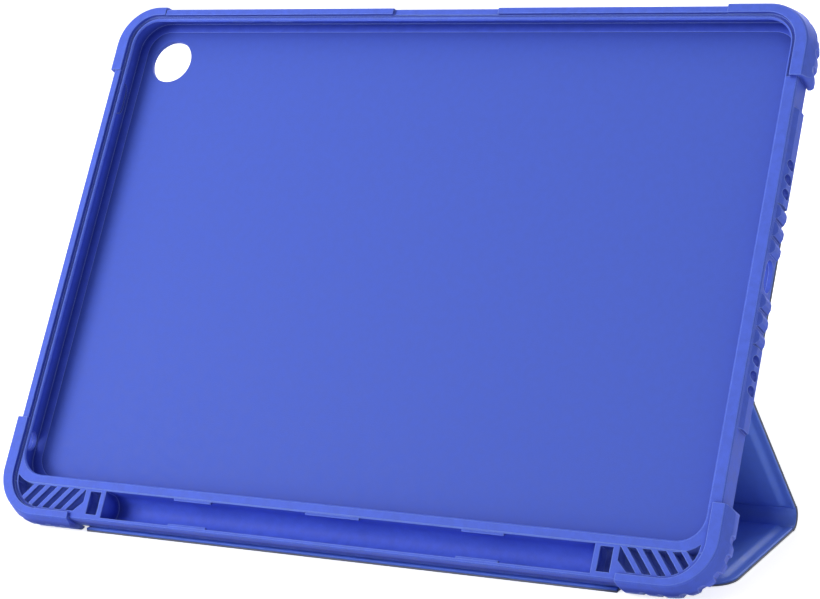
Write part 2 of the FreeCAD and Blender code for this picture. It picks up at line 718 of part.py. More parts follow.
def rear_bend():
    """Soft arc of leather between base and strut panels, in world position."""
    outer_radius = REAR_BEND_RADIUS + PANEL_THICKNESS / 2
    centre = vec(-COVER_X, BEND_CENTRE[0], BEND_CENTRE[1])
    outer = Part.makeCylinder(outer_radius, 2 * COVER_X, centre, X_AXIS)
    inner = Part.makeCylinder(outer_radius - LEATHER, 2 * COVER_X, centre, X_AXIS)
    start = math.radians(-90)
    end = math.radians(STRUT_ANGLE - 90) - 0.1 / outer_radius
    reach = 3 * outer_radius
    wedge = [BEND_CENTRE]
    for angle, scale in ((start, reach), ((start + end) / 2, 2 * reach), (end, reach)):
        y = BEND_CENTRE[0] + scale * math.cos(angle)
        z = BEND_CENTRE[1] + scale * math.sin(angle)
        wedge.append((y, z))
    return outer.cut(inner).common(prism(wedge, COVER_X + 1))


def flap_crease():
    """Leather across the fold at the case's back: two short flats that meet on the bisector."""
    slope = math.tan(math.radians(STRUT_ANGLE - LEAN_ANGLE) / 2)
    near = [
        (-FOLD_SETBACK, LEATHER_LOW), (LEATHER_LOW * slope, LEATHER_LOW),
        (LEATHER_HIGH * slope, LEATHER_HIGH), (-FOLD_SETBACK, LEATHER_HIGH),
    ]
    far = [(-y, z) for y, z in near]
    far = [(min(y, FOLD_SETBACK - 0.1), z) for y, z in far]
    strip = place_panel(prism(near, COVER_X), FLAP_FOLD, STRUT_ANGLE)
    return strip.fuse(place_panel(prism(far, COVER_X), FLAP_FOLD, LEAN_ANGLE))


def anchor_strip():
    """Leather strip glued to the case's back, CASE frame."""
    wire = outline(-SPINE_X, SPINE_X, STRIP_LOW_U, STRIP_HIGH_U, 1.0, 4.0)
    return slab(wire, BACK_N - STRIP_THICKNESS, BACK_N)


def spine_crease():
    """Leather folded under the case's lower back edge, in world position."""
    outer_n = BACK_N - STRIP_THICKNESS
    top = SPINE_FOLD[1] + LEATHER_HIGH + NEAR
    bottom = SPINE_FOLD[1] + LEATHER_LOW + NEAR
    y = SPINE_FOLD[0]
    meeting_u = (top - CASE_Z - outer_n * math.cos(LEAN)) / math.sin(LEAN)
    profile = [
        case_point(STRIP_LOW_U, BACK_N), case_point(STRIP_LOW_U, outer_n),
        case_point(meeting_u, outer_n), (y + SPINE_START, top), (y + SPINE_START, bottom),
        (y + 0.1, bottom), (y - 0.6, bottom + 0.5), (y - 0.6, top),
        case_point(TRAY_BOTTOM - NEAR, BACK_N + BACK_BEVEL - NEAR),
        case_point(TRAY_BOTTOM + BACK_BEVEL - NEAR, BACK_N - NEAR),
    ]
    return prism(profile, SPINE_X)


def cover():
    """All cover pieces in world position."""
    pieces = {}
    for name, shape in spine_layers().items():
        pieces[name] = place_panel(shape, SPINE_FOLD, 0)
    pieces["spine_crease"] = spine_crease()
    pieces["base_crease"] = place_panel(base_crease(), BASE_FOLD, 0)
    base = panel_layers(BASE_START, BASE_STRAIGHT, 9.0, 0.6, 4.0, 2.6)
    for layer, shape in base.items():
        pieces["base_panel_" + layer] = place_panel(shape, BASE_FOLD, 0)
    pieces["rear_bend"] = rear_bend()
    strut = panel_layers(0.0, STRUT_RUN - FOLD_SETBACK, 0.6, 0.6, 2.6, 2.6)
    for layer, shape in strut.items():
        pieces["strut_panel_" + layer] = place_panel(shape, STRUT_START, STRUT_ANGLE)
    pieces["flap_crease"] = flap_crease()
    flap = panel_layers(FOLD_SETBACK, FLAP_LENGTH, 0.6, 12.0, 2.6, MARGIN)
    low = -PANEL_THICKNESS / 2 + LINING + 0.15
    pockets = magnet_row(MAGNET_Y, low, 2.0, 0.15)
    magnets = Part.makeCompound(magnet_row(MAGNET_Y, low, MAGNET_THICKNESS, 0.0))
    for pocket in pockets:
        flap["board"] = flap["board"].cut(pocket)
    for layer, shape in flap.items():
        pieces["flap_panel_" + layer] = place_panel(shape, FLAP_FOLD, LEAN_ANGLE)
    pieces["flap_magnets"] = place_panel(magnets, FLAP_FOLD, LEAN_ANGLE)
    return pieces


# ---------------------------------------------------------------- the whole object
def build():
    """Every node by name, in world position."""
    case = {
        "bumper_frame": bumper_frame(),
        "stylus_tray": stylus_tray(),
        "back_panel": back_panel(),
        "anchor_strip": anchor_strip(),
        "stand_magnets": Part.makeCompound(
            magnet_row(STAND_MAGNET_U, BACK_N + 0.1, MAGNET_THICKNESS, 0.0)
        ),
    }
    for corner, pad in corner_bumpers().items():
        case["corner_bumper_" + corner] = pad
    case.update(buttons())
    nodes = {}
    for name, shape in case.items():
        nodes[name] = place_on_case(shape)
    nodes.update(cover())
    return nodes


def main():
    os.makedirs("parts", exist_ok=True)
    for name, shape in build().items():
        shape.exportStep(os.path.join("parts", name + ".step"))
        print(name, "solids", len(shape.Solids), "valid", shape.isValid())


main()
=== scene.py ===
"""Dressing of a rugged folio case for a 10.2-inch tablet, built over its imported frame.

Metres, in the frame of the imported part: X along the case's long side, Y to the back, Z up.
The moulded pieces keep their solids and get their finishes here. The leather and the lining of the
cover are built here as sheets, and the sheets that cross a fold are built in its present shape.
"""
import json
import logging
import math
from dataclasses import dataclass
from enum import Enum
from typing import Callable, Sequence

import bmesh
import bpy
from mathutils import Matrix, Vector


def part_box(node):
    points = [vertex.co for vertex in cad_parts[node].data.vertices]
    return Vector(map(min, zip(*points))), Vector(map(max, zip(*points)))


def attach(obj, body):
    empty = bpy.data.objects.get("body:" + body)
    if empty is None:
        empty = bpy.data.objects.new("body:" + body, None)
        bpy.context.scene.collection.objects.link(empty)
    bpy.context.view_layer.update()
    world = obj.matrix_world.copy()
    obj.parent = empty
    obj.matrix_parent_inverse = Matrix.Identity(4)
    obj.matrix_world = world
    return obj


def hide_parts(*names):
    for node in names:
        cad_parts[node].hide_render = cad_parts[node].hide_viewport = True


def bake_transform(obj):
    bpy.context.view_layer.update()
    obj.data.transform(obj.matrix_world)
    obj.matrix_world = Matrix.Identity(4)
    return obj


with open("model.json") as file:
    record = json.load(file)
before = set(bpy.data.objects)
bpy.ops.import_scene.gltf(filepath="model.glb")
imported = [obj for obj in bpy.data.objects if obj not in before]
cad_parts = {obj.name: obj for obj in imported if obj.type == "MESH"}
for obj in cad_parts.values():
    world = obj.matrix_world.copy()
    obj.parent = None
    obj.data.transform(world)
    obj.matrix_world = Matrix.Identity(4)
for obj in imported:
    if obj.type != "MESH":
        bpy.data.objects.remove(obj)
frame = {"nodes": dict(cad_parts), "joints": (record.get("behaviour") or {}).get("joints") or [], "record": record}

LOG = logging.getLogger("tablet_case")
MM = 0.001
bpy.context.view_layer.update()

Colour = tuple[float, float, float]
Point2 = tuple[float, float]
Point3 = tuple[float, float, float]


def srgb(red: int, green: int, blue: int) -> Colour:
    """Linear colour of an 8-bit display colour."""
    def one(value: int) -> float:
        """Linear value of one channel."""
        share = value / 255
        return share / 12.92 if share <= 0.04045 else ((share + 0.055) / 1.055) ** 2.4

    return one(red), one(green), one(blue)


class Body(Enum):
    """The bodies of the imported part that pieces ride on."""

    SHELL = "shell"
    SPINE = "spine"
    BASE = "base_panel"
    STRUT = "strut_panel"
    FLAP = "flap_panel"


class Ply(Enum):
    """The two outer layers of the cover."""

    SKIN = "skin"
    LINING = "lining"


# ---------------------------------------------------------------- node graphs
@dataclass
class Graph:
    """A node tree that is being wired."""

    tree: bpy.types.NodeTree

    def add(self, kind: str, **values: object) -> bpy.types.Node:
        """Adds a node.

        Args:
            kind: Node type without the "ShaderNode" prefix.
            values: Node properties, or input socket values where the name starts with "in_".

        Returns:
            The new node.
        """
        node = self.tree.nodes.new("ShaderNode" + kind)
        for name, value in values.items():
            if name.startswith("in_"):
                node.inputs[name[3:].replace("_", " ")].default_value = value
            else:
                setattr(node, name, value)
        return node

    def link(self, source: bpy.types.NodeSocket, target: bpy.types.NodeSocket) -> None:
        """Joins an output to an input."""
        self.tree.links.new(source, target)

    def math(self, operation: str, *terms: object) -> bpy.types.NodeSocket:
        """Adds a Math node.

        Args:
            operation: Math operation.
            terms: Sockets or numbers.

        Returns:
            The node's output.
        """
        node = self.add("Math", operation=operation)
        for index, term in enumerate(terms):
            if isinstance(term, bpy.types.NodeSocket):
                self.link(term, node.inputs[index])
            else:
                node.inputs[index].default_value = term
        return node.outputs[0]

    def ramp(self, value: bpy.types.NodeSocket, low: float, high: float,
             out_low: float = 0.0, out_high: float = 1.0) -> bpy.types.NodeSocket:
        """Maps a value smoothly from one range to another.

        Args:
            value: The value to map.
            low: Input that gives out_low.
            high: Input that gives out_high.
            out_low: Output at and below low.
            out_high: Output at and above high.

        Returns:
            The mapped value.
        """
        node = self.add("MapRange", interpolation_type="SMOOTHSTEP")
        self.link(value, node.inputs["Value"])
        for name, number in (("From Min", low), ("From Max", high),
                             ("To Min", out_low), ("To Max", out_high)):
            node.inputs[name].default_value = number
        return node.outputs["Result"]

    def blend(self, share: object, first: object, second: object,
              mode: str = "MIX") -> bpy.types.NodeSocket:
        """Mixes two colours.

        Args:
            share: Socket or number, 0 for the first colour and 1 for the second.
            first: Socket or colour.
            second: Socket or colour.
            mode: Blend mode.

        Returns:
            The mixed colour.
        """
        node = self.add("Mix", data_type="RGBA", blend_type=mode)
        for name, term in (("Factor_Float", share), ("A_Color", first), ("B_Color", second)):
            socket = next(s for s in node.inputs if s.identifier == name)
            if isinstance(term, bpy.types.NodeSocket):
                self.link(term, socket)
            elif isinstance(term, tuple):
                socket.default_value = (*term, 1.0)
            else:
                socket.default_value = term
        return next(s for s in node.outputs if s.identifier == "Result_Color")


@dataclass(frozen=True)
class Effect:
    """A surface effect that several finishes share, built once as a node group."""

    name: str
    inputs: tuple[tuple[str, str, object], ...]
    outputs: tuple[tuple[str, str], ...]
    wire: Callable[[Graph, bpy.types.Node, bpy.types.Node], None]

    def group(self) -> bpy.types.NodeTree:
        """Returns the node group, building it the first time."""
        found = bpy.data.node_groups.get(self.name)
        if found is not None:
            return found
        tree = bpy.data.node_groups.new(self.name, "ShaderNodeTree")
        for name, kind, value in self.inputs:
            socket = tree.interface.new_socket(name, in_out="INPUT", socket_type=kind)
            socket.default_value = value
        for name, kind in self.outputs:
            tree.interface.new_socket(name, in_out="OUTPUT", socket_type=kind)
        graph = Graph(tree)
        self.wire(graph, tree.nodes.new("NodeGroupInput"), tree.nodes.new("NodeGroupOutput"))
        return tree

    def place(self, graph: Graph, **values: object) -> bpy.types.Node:
        """Places the effect in a material.

        Args:
            graph: The material's graph.
            values: Input values or sockets, by input name with underscores for spaces.

        Returns:
            The group node.
        """
        node = graph.add("Group", node_tree=self.group())
        for name, value in values.items():
            socket = node.inputs[name.replace("_", " ")]
            if isinstance(value, bpy.types.NodeSocket):
                graph.link(value, socket)
            elif isinstance(value, tuple):
                socket.default_value = (*value, 1.0)
            else:
                socket.default_value = value
        return node


# Ranges are (from, to), and a mask rises from 0 to 1 over them
SPECKS_PER_CLOUD, SPECK_SHARE = 14.0, 0.35
PIGMENT_SWING, PIGMENT_MASK = (0.36, 0.64), (0.3, 0.7)           # of the mixed noise
FINE_PER_PEBBLE = 1.7
PEBBLE_REACH = 0.75                                              # of a cell's distance
EDGE_TURN = (0.998, 0.90)                # cosine between the flat and the rounded normal
# Occlusion ranges of the masks that paint shade into grooves and light into deep pockets.
GROOVE_SHELTER, OPEN_SHELTER, DEEP_SHELTER = (0.95, 0.5), (0.15, 0.4), (0.5, 0.15)
NAP_LAY = (1.0, 0.25, 0.25)              # fibres are drawn out along Y and Z
NAP_PATCHES = (0.38, 0.62)


def wire_mottle(graph: Graph, inner: bpy.types.Node, outer: bpy.types.Node) -> None:
    """Uneven pigment: soft clouds and fine specks that vary a colour.

    Args:
        graph: The group's graph.
        inner: Group input node.
        outer: Group output node.
    """
    place = graph.add("TexCoord").outputs["Object"]
    clouds = graph.add("TexNoise", in_Detail=4.0, in_Roughness=0.6)
    graph.link(place, clouds.inputs["Vector"])
    graph.link(inner.outputs["Scale"], clouds.inputs["Scale"])
    specks = graph.add("TexNoise", in_Detail=2.0, in_Roughness=0.7)
    graph.link(place, specks.inputs["Vector"])
    finer = graph.math("MULTIPLY", inner.outputs["Scale"], SPECKS_PER_CLOUD)
    graph.link(finer, specks.inputs["Scale"])
    both = graph.math("MULTIPLY_ADD", specks.outputs["Fac"], SPECK_SHARE,
                      graph.math("MULTIPLY", clouds.outputs["Fac"], 1 - SPECK_SHARE))
    swing = graph.ramp(both, *PIGMENT_SWING, -1.0, 1.0)
    gain = graph.math("MULTIPLY_ADD", swing, inner.outputs["Amount"], 1.0)
    scaled = graph.add("VectorMath", operation="SCALE")
    graph.link(inner.outputs["Colour"], scaled.inputs[0])
    graph.link(gain, scaled.inputs["Scale"])
    graph.link(scaled.outputs[0], outer.inputs["Colour"])
    graph.link(graph.ramp(both, *PIGMENT_MASK), outer.inputs["Mask"])


def wire_grain(graph: Graph, inner: bpy.types.Node, outer: bpy.types.Node) -> None:
    """Pebbled surface height: cells broken up by noise.

    Args:
        graph: The group's graph.
        inner: Group input node.
        outer: Group output node.
    """
    place = graph.add("TexCoord").outputs["Object"]
    cells = graph.add("TexVoronoi", feature="SMOOTH_F1", in_Randomness=1.0)
    graph.link(place, cells.inputs["Vector"])
    graph.link(inner.outputs["Scale"], cells.inputs["Scale"])
    fine = graph.add("TexNoise", in_Detail=5.0, in_Roughness=0.65)
    graph.link(place, fine.inputs["Vector"])
    finer = graph.math("MULTIPLY", inner.outputs["Scale"], FINE_PER_PEBBLE)
    graph.link(finer, fine.inputs["Scale"])
    pebble = graph.ramp(cells.outputs["Distance"], 0.0, PEBBLE_REACH, 1.0, 0.0)
    mixed = graph.add("Mix", data_type="FLOAT")
    graph.link(inner.outputs["Pebble"], mixed.inputs["Factor"])
    graph.link(fine.outputs["Fac"], mixed.inputs["A"])
    graph.link(pebble, mixed.inputs["B"])
    graph.link(mixed.outputs["Result"], outer.inputs["Height"])


def wire_edges(graph: Graph, inner: bpy.types.Node, outer: bpy.types.Node) -> None:
    """Soft moulded edges: a rounded normal, and a mask of the rounded places.

    Args:
        graph: The group's graph.
        inner: Group input node.
        outer: Group output node.
    """
    round_off = graph.add("Bevel", samples=6)
    graph.link(inner.outputs["Radius"], round_off.inputs["Radius"])
    flat = graph.add("NewGeometry").outputs["Normal"]
    along = graph.add("VectorMath", operation="DOT_PRODUCT")
    graph.link(round_off.outputs["Normal"], along.inputs[0])
    graph.link(flat, along.inputs[1])
    graph.link(round_off.outputs["Normal"], outer.inputs["Normal"])
    graph.link(graph.ramp(along.outputs["Value"], *EDGE_TURN), outer.inputs["Mask"])


def wire_recess_painted_light(graph: Graph, inner: bpy.types.Node, outer: bpy.types.Node) -> None:
    """Masks for painted shade in grooves and for painted light in deep pockets, which lifts their real shade.

    Args:
        graph: The group's graph.
        inner: Group input node.
        outer: Group output node.
    """
    shelter = graph.add("AmbientOcclusion", samples=8)
    graph.link(inner.outputs["Reach"], shelter.inputs["Distance"])
    groove = graph.ramp(shelter.outputs["AO"], *GROOVE_SHELTER)
    open_enough = graph.ramp(shelter.outputs["AO"], *OPEN_SHELTER)
    graph.link(graph.math("MULTIPLY", groove, open_enough), outer.inputs["Mask"])
    graph.link(graph.ramp(shelter.outputs["AO"], *DEEP_SHELTER), outer.inputs["Deep"])


def wire_nap(graph: Graph, inner: bpy.types.Node, outer: bpy.types.Node) -> None:
    """Short brushed fibres: height and a light and dark lay of the nap.

    Args:
        graph: The group's graph.
        inner: Group input node.
        outer: Group output node.
    """
    place = graph.add("TexCoord").outputs["Object"]
    lay = graph.add("Mapping")
    lay.inputs["Scale"].default_value = NAP_LAY
    graph.link(place, lay.inputs["Vector"])
    fibres = graph.add("TexNoise", in_Detail=6.0, in_Roughness=0.75)
    graph.link(lay.outputs["Vector"], fibres.inputs["Vector"])
    graph.link(inner.outputs["Scale"], fibres.inputs["Scale"])
    patches = graph.add("TexNoise", in_Scale=22.0, in_Detail=3.0)
    graph.link(place, patches.inputs["Vector"])
    graph.link(fibres.outputs["Fac"], outer.inputs["Height"])
    graph.link(graph.ramp(patches.outputs["Fac"], *NAP_PATCHES), outer.inputs["Mask"])


FLOAT, COLOUR, VECTOR = "NodeSocketFloat", "NodeSocketColor", "NodeSocketVector"
MOTTLE = Effect(
    "uneven pigment",
    (("Colour", COLOUR, (0.5, 0.5, 0.5, 1.0)), ("Amount", FLOAT, 0.05), ("Scale", FLOAT, 60.0)),
    (("Colour", COLOUR), ("Mask", FLOAT)), wire_mottle,
)
GRAIN = Effect(
    "pebbled grain", (("Scale", FLOAT, 900.0), ("Pebble", FLOAT, 0.5)),
    (("Height", FLOAT),), wire_grain,
)
EDGES = Effect(
    "soft edges", (("Radius", FLOAT, 0.0004),), (("Normal", VECTOR), ("Mask", FLOAT)), wire_edges,
)
# Painted shade in grooves and painted light in deep pockets, from an occlusion mask.
RECESS_PAINTED_LIGHT = Effect(
    "painted recess shade and light", (("Reach", FLOAT, 0.004),), (("Mask", FLOAT), ("Deep", FLOAT)),
    wire_recess_painted_light,
)
NAP = Effect(
    "brushed nap", (("Scale", FLOAT, 2600.0),), (("Height", FLOAT), ("Mask", FLOAT)), wire_nap,
)


# ---------------------------------------------------------------- finishes
SHEEN_ROUGHNESS = 0.4
NAP_GAIN, NAP_SHARE = 1.22, 0.45         # how much lighter the raised nap is, and how far
SMOOTHER, ROUGHER = 0.05, 0.06           # swing of the roughness with the pigment


@dataclass(frozen=True)
class Finish:
    """A surface finish with an uneven colour, a painted highlight on its edges, painted shade in its grooves and
    painted light in its deep pockets, and a fine relief.
    """

    name: str
    slot: str
    colour: Colour
    roughness: float
    mottle: float = 0.05
    mottle_scale: float = 60.0
    grain_scale: float = 1500.0
    pebble: float = 0.4
    relief: float = 0.12
    relief_depth: float = 0.00006
    edge_radius: float = 0.0004
    # The next two fields paint a lighter highlight colour onto the rounded edges.
    edge_highlight_share: float = 0.12
    edge_highlight_colour: Colour = (0.2, 0.3, 0.9)
    # The next three fields paint shade into grooves, found by occlusion within the reach.
    recess_reach: float = 0.004
    groove_shade_colour: Colour = (0.02, 0.04, 0.25)
    groove_shade_share: float = 0.0
    # The next two fields paint light into deep pockets, to lift their real shade.
    pocket_light_colour: Colour = (0.36, 0.5, 0.95)
    pocket_light_share: float = 0.0
    specular: float = 0.5
    metallic: float = 0.0
    sheen: float = 0.0
    nap: bool = False

    def material(self) -> bpy.types.Material:
        """Returns the finish's material, building it the first time."""
        found = bpy.data.materials.get(self.name)
        if found is not None:
            return found
        made = bpy.data.materials.new(self.name)
        made.use_nodes = True
        made.diffuse_color = (*self.colour, 1.0)
        graph = Graph(made.node_tree)
        made.node_tree.nodes.clear()
        shader = graph.add("BsdfPrincipled")
        shader.inputs["Specular IOR Level"].default_value = self.specular
        shader.inputs["Metallic"].default_value = self.metallic
        shader.inputs["Sheen Weight"].default_value = self.sheen
        shader.inputs["Sheen Roughness"].default_value = SHEEN_ROUGHNESS
        self.wire_colour(graph, shader)
        self.wire_relief(graph, shader)
        graph.link(shader.outputs[0], graph.add("OutputMaterial").inputs["Surface"])
        return made

    def wire_colour(self, graph: Graph, shader: bpy.types.Node) -> None:
        """Wires base colour and roughness.

        Args:
            graph: The material's graph.
            shader: The Principled node.
        """
        pigment = MOTTLE.place(
            graph, Colour=self.colour, Amount=self.mottle, Scale=self.mottle_scale
        )
        colour = pigment.outputs["Colour"]
        if self.groove_shade_share:
            # Painted shade darkens the grooves, and painted light then lifts the deep pockets.
            shelter = RECESS_PAINTED_LIGHT.place(graph, Reach=self.recess_reach).outputs
            painted_groove_shade = graph.math("MULTIPLY", shelter["Mask"], self.groove_shade_share)
            colour = graph.blend(painted_groove_shade, colour, self.groove_shade_colour)
            # Painted light: a paler colour lifts the real shade in deep pockets.
            painted_pocket_light = graph.math("MULTIPLY", shelter["Deep"], self.pocket_light_share)
            colour = graph.blend(painted_pocket_light, colour, self.pocket_light_colour)
        if self.edge_highlight_share:
            # Painted highlight: a lighter colour laid over the rounded edges.
            painted_edge_highlight = EDGES.place(graph, Radius=self.edge_radius).outputs["Mask"]
            colour = graph.blend(
                graph.math("MULTIPLY", painted_edge_highlight, self.edge_highlight_share), colour, self.edge_highlight_colour
            )
        if self.nap:
            lay = NAP.place(graph).outputs["Mask"]
            lighter = tuple(min(1.0, channel * NAP_GAIN) for channel in self.colour)
            colour = graph.blend(graph.math("MULTIPLY", lay, NAP_SHARE), colour, lighter)
        graph.link(colour, shader.inputs["Base Color"])
        rough = graph.ramp(pigment.outputs["Mask"], 0.0, 1.0, self.roughness - SMOOTHER,
                           self.roughness + ROUGHER)
        graph.link(rough, shader.inputs["Roughness"])

    def wire_relief(self, graph: Graph, shader: bpy.types.Node) -> None:
        """Wires the bump over the rounded edges.

        Args:
            graph: The material's graph.
            shader: The Principled node.
        """
        if self.nap:
            height = NAP.place(graph).outputs["Height"]
        else:
            height = GRAIN.place(
                graph, Scale=self.grain_scale, Pebble=self.pebble
            ).outputs["Height"]
        bump = graph.add("Bump", in_Strength=self.relief, in_Distance=self.relief_depth)
        graph.link(height, bump.inputs["Height"])
        rounded = EDGES.place(graph, Radius=self.edge_radius).outputs["Normal"]
        graph.link(rounded, bump.inputs["Normal"])
        graph.link(bump.outputs["Normal"], shader.inputs["Normal"])


# Painted: a highlight on the moulding's edges, shade in its grooves and light in its deep pockets.
MOULDING = Finish(
    name="satin_moulded_rubber", slot="soft_moulding", colour=srgb(84, 110, 226),
    roughness=0.58, mottle=0.07, mottle_scale=320.0, grain_scale=1900.0, pebble=0.35,
    relief=0.3, edge_radius=0.0005, edge_highlight_share=0.6, edge_highlight_colour=srgb(150, 178, 255),
    recess_reach=0.005, groove_shade_colour=srgb(44, 62, 168), groove_shade_share=0.85,
    pocket_light_colour=srgb(150, 172, 236), pocket_light_share=0.8, specular=0.2,
)
# Painted: a faint highlight on the back's edges and shade in its hollows.
HARD_BACK = Finish(
    name="spark_textured_back", slot="back_panel", colour=srgb(72, 98, 208), roughness=0.6,
    mottle=0.03, mottle_scale=420.0, grain_scale=3200.0, pebble=0.75, relief=0.35,
    edge_highlight_share=0.1, edge_highlight_colour=srgb(120, 145, 235), recess_reach=0.01,
    groove_shade_colour=srgb(40, 58, 150), groove_shade_share=0.5, specular=0.3,
)
# Each finish below paints a faint highlight colour onto its rounded edges.
LEATHER = Finish(
    name="pressed_leather", slot="cover_skin", colour=srgb(100, 137, 242), roughness=0.5,
    mottle=0.035, mottle_scale=260.0, grain_scale=1150.0, pebble=0.7, relief=0.4,
    relief_depth=0.00008, edge_radius=0.0005, edge_highlight_share=0.12, edge_highlight_colour=srgb(130, 160, 248),
    specular=0.35,
)
MICROFIBRE = Finish(
    name="brushed_microfibre", slot="cover_lining", colour=srgb(126, 130, 142), roughness=0.85,
    mottle=0.05, mottle_scale=40.0, relief=0.5, relief_depth=0.0001, edge_highlight_share=0.15,
    edge_highlight_colour=srgb(168, 172, 182), specular=0.2, sheen=0.35, nap=True,
)
BOARD = Finish(
    name="pressed_fibreboard", slot="board", colour=srgb(150, 138, 118), roughness=0.8,
    mottle=0.12, mottle_scale=160.0, grain_scale=2600.0, pebble=0.2, relief=0.4, edge_highlight_share=0.1,
    edge_highlight_colour=srgb(190, 180, 160),
)
NICKEL = Finish(
    name="nickel_plate", slot="magnet", colour=srgb(196, 198, 202), roughness=0.28, mottle=0.03,
    grain_scale=3000.0, pebble=0.1, relief=0.08, edge_highlight_share=0.1, edge_highlight_colour=srgb(225, 226, 230),
    metallic=1.0,
)
SLOT_FINISHES = {
    finish.slot: finish for finish in (MOULDING, HARD_BACK, LEATHER, MICROFIBRE, BOARD, NICKEL)
}


def dress_solids() -> int:
    """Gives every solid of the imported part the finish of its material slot.

    Returns:
        How many solids were dressed.
    """
    for part in frame["record"]["subparts"]:
        node = frame["nodes"][part["node"]]
        node.data.materials.clear()
        node.data.materials.append(SLOT_FINISHES[part["material_slot"]].material())
    return len(frame["record"]["subparts"])


# ---------------------------------------------------------------- sheets
@dataclass(frozen=True)
class Fold:
    """A flat panel's own frame: y away from its fold, z towards the skin, at an angle."""

    pivot: Point2
    degrees: float

    def world(self, x: float, y: float, z: float) -> Vector:
        """World point of a panel point."""
        turn = math.radians(self.degrees)
        return Vector((
            x,
            self.pivot[0] + y * math.cos(turn) - z * math.sin(turn),
            self.pivot[1] + y * math.sin(turn) + z * math.cos(turn),
        ))


def fold_of(joint: str, degrees: float) -> Fold:
    """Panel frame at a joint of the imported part.

    Args:
        joint: The joint's name.
        degrees: The panel's slope.

    Returns:
        The panel frame.
    """
    found = next(j for j in frame["joints"] if j["name"] == joint)
    return Fold((found["pos_m"][1], found["pos_m"][2]), degrees)


def finished(name: str, mesh: bmesh.types.BMesh, finish: Finish) -> bpy.types.Object:
    """Turns a bmesh into a dressed, smooth object.

    Args:
        name: Object name.
        mesh: The mesh, freed afterwards.
        finish: Its finish.

    Returns:
        The object.
    """
    bmesh.ops.recalc_face_normals(mesh, faces=mesh.faces)
    for face in mesh.faces:
        face.smooth = True
    data = bpy.data.meshes.new(name)
    mesh.to_mesh(data)
    mesh.free()
    piece = bpy.data.objects.new(name, data)
    bpy.context.scene.collection.objects.link(piece)
    data.materials.append(finish.material())
    return piece


LEAST_RADIUS = 0.3 * MM      # a sheet's inner loops keep at least this corner


def rounded_loop(x: float, y0: float, y1: float, near: float, far: float,
                 steps: int = 8) -> list[Point2]:
    """Points round a rounded rectangle, evenly placed so that loops can be bridged.

    Args:
        x: Half width.
        y0: Edge near the fold.
        y1: Far edge.
        near: Corner radius near the fold.
        far: Corner radius at the far edge.
        steps: Segments in each corner.

    Returns:
        The points, anticlockwise.
    """
    corners = [
        (x - near, y0 + near, near, -90.0), (x - far, y1 - far, far, 0.0),
        (far - x, y1 - far, far, 90.0), (near - x, y0 + near, near, 180.0),
    ]
    points: list[Point2] = []
    for cx, cy, radius, start in corners:
        for step in range(steps + 1):
            angle = math.radians(start + 90.0 * step / steps)
            points.append((cx + radius * math.cos(angle), cy + radius * math.sin(angle)))
    return points


@dataclass
class PanelSheet:
    """One outer layer of a stiff panel: flat, with a pressed edge and a soft shoulder."""

    name: str
    body: Body
    fold: Fold
    ply: Ply
    half_x: float
    y0: float
    y1: float
    near: float
    far: float
    profile: Sequence[Point2]
    near_share: float = 1.0
    far_share: float = 1.0

    def build(self) -> bpy.types.Object:
        """Builds the sheet from loops that step in from its edge.

        Returns:
            The dressed piece, riding on its body.
        """
        mesh = bmesh.new()
        rings = []
        for inset, z in self.profile:
            points = rounded_loop(
                self.half_x - inset, self.y0 + inset * self.near_share,
                self.y1 - inset * self.far_share,
                max(self.near - inset, LEAST_RADIUS), max(self.far - inset, LEAST_RADIUS),
            )
            rings.append([mesh.verts.new(self.fold.world(x, y, z)) for x, y in points])
        for lower, upper in zip(rings, rings[1:]):
            for index in range(len(lower)):
                after = (index + 1) % len(lower)
                mesh.faces.new((lower[index], lower[after], upper[after], upper[index]))
        mesh.faces.new(rings[-1])
        mesh.faces.new(list(reversed(rings[0])))
        finish = LEATHER if self.ply is Ply.SKIN else MICROFIBRE
        piece = finished(self.name, mesh, finish)
        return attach(piece, self.body.value)


@dataclass
class BentSheet:
    """A sheet swept along X over a line in (y, z), with rounded long edges."""

    name: str
    ply: Ply
    half_x: float
    line: Sequence[Point2]
    thickness: float
    columns: int = 24

    def build(self) -> bpy.types.Object:
        """Builds the sheet, its line being one face and its thickness to the line's left.

        Returns:
            The dressed piece, not riding yet.
        """
        mesh = bmesh.new()
        front, back = [], []
        count = len(self.line)
        for index, (y, z) in enumerate(self.line):
            before = self.line[max(index - 1, 0)]
            after = self.line[min(index + 1, count - 1)]
            dy, dz = after[0] - before[0], after[1] - before[1]
            length = math.hypot(dy, dz)
            ny, nz = -dz / length, dy / length
            front.append((y, z))
            back.append((y + ny * self.thickness, z + nz * self.thickness))
        section = front + back[::-1]
        rows = []
        for column in range(self.columns + 1):
            share = 2.0 * column / self.columns - 1.0
            x = self.half_x * share
            rows.append([mesh.verts.new((x, y, z)) for y, z in section])
        for left, right in zip(rows, rows[1:]):
            for index in range(len(section)):
                after = (index + 1) % len(section)
                mesh.faces.new((left[index], left[after], right[after], right[index]))
        for row in (rows[0], rows[-1]):
            for index in range(count - 1):
                other = len(section) - 1 - index
                mesh.faces.new((row[index], row[index + 1], row[other - 1], row[other]))
        finish = LEATHER if self.ply is Ply.SKIN else MICROFIBRE
        return finished(self.name, mesh, finish)


def level_line(start: float, end: float, z: float, steps: int) -> list[Point2]:
    """Evenly spaced points at one height, as (y, z)."""
    return [(start + (end - start) * step / steps, z) for step in range(steps + 1)]


@dataclass(frozen=True)
class PanelSpan:
    """Where a stiff panel's sheets run along it, and how their two ends are pressed.

    The shares say how much of each inset of the side margins is taken at an end too.
    """

    body: Body
    fold: Fold
    start: float
    end: float
    near_radius: float
    far_radius: float
    near_share: float
    far_share: float


